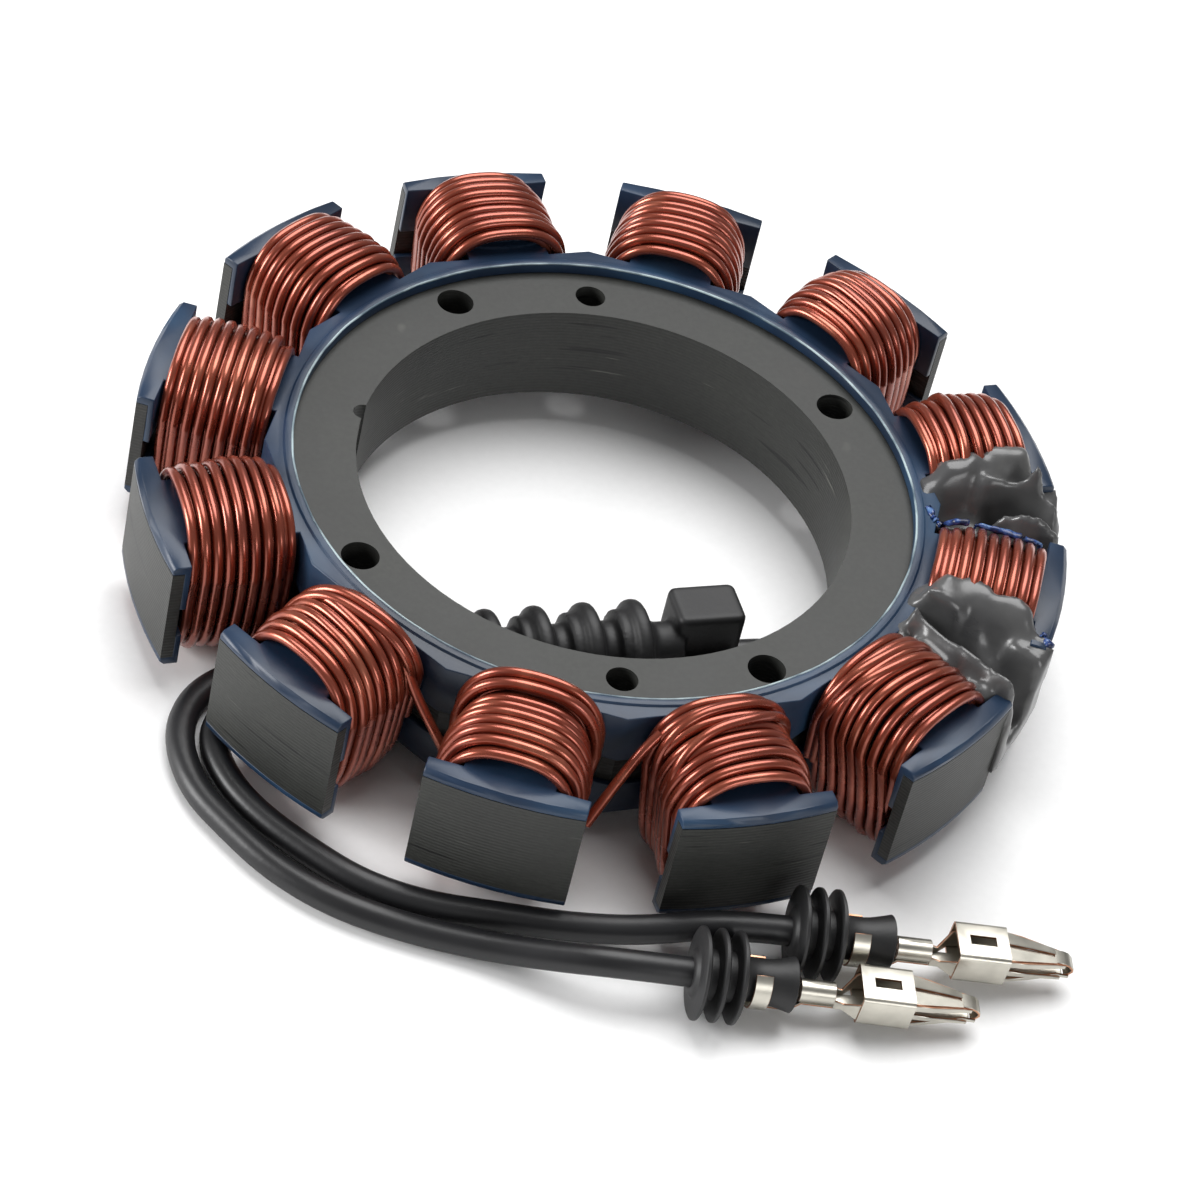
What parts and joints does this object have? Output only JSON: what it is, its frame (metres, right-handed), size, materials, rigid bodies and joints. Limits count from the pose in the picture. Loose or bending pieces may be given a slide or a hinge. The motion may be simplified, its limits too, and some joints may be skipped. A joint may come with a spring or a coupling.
{
  "type": "wound stator",
  "caption": "Wound ring stator with outward poles, blue insulators, copper coils, potted joints, a ribbed grommet and terminated leads.",
  "frame": {"origin": "on the bore axis, at the laminated core's lower face", "axes": "+Z along the bore axis, towards the face that the picture shows; +X through the pole between the two potted joints"},
  "size_m": [0.13, 0.1296, 0.0253],
  "materials": {
    "core_steel": "satin black coated laminated steel",
    "blue_plastic": "moulded slate blue",
    "enamelled_copper": "glossy enamel over copper",
    "resin": "glossy poured resin",
    "black_rubber": "moulded rubber",
    "lead_jacket": "extruded wire insulation",
    "tinned_metal": "tin plate over copper alloy"
  },
  "bodies": {
    "root": {"coil_01": "enamelled_copper", "coil_02": "enamelled_copper", "coil_03": "enamelled_copper", "coil_04": "enamelled_copper", "coil_05": "enamelled_copper", "coil_06": "enamelled_copper", "coil_07": "enamelled_copper", "coil_08": "enamelled_copper", "coil_09": "enamelled_copper", "coil_10": "enamelled_copper", "coil_11": "enamelled_copper", "coil_12": "enamelled_copper", "crossover_a": "enamelled_copper", "crossover_b": "enamelled_copper", "grommet": "black_rubber", "lead_inner": "lead_jacket", "lead_outer": "lead_jacket", "lower_insulator": "blue_plastic", "potting_a": "resin", "potting_b": "resin", "seal_inner": "black_rubber", "seal_outer": "black_rubber", "sleeve_inner": "tinned_metal", "sleeve_outer": "tinned_metal", "stator_core": "core_steel", "tail_a": "lead_jacket", "tail_b": "lead_jacket", "terminal_inner": "tinned_metal", "terminal_outer": "tinned_metal", "upper_insulator": "blue_plastic"}
  },
  "joints": []
}
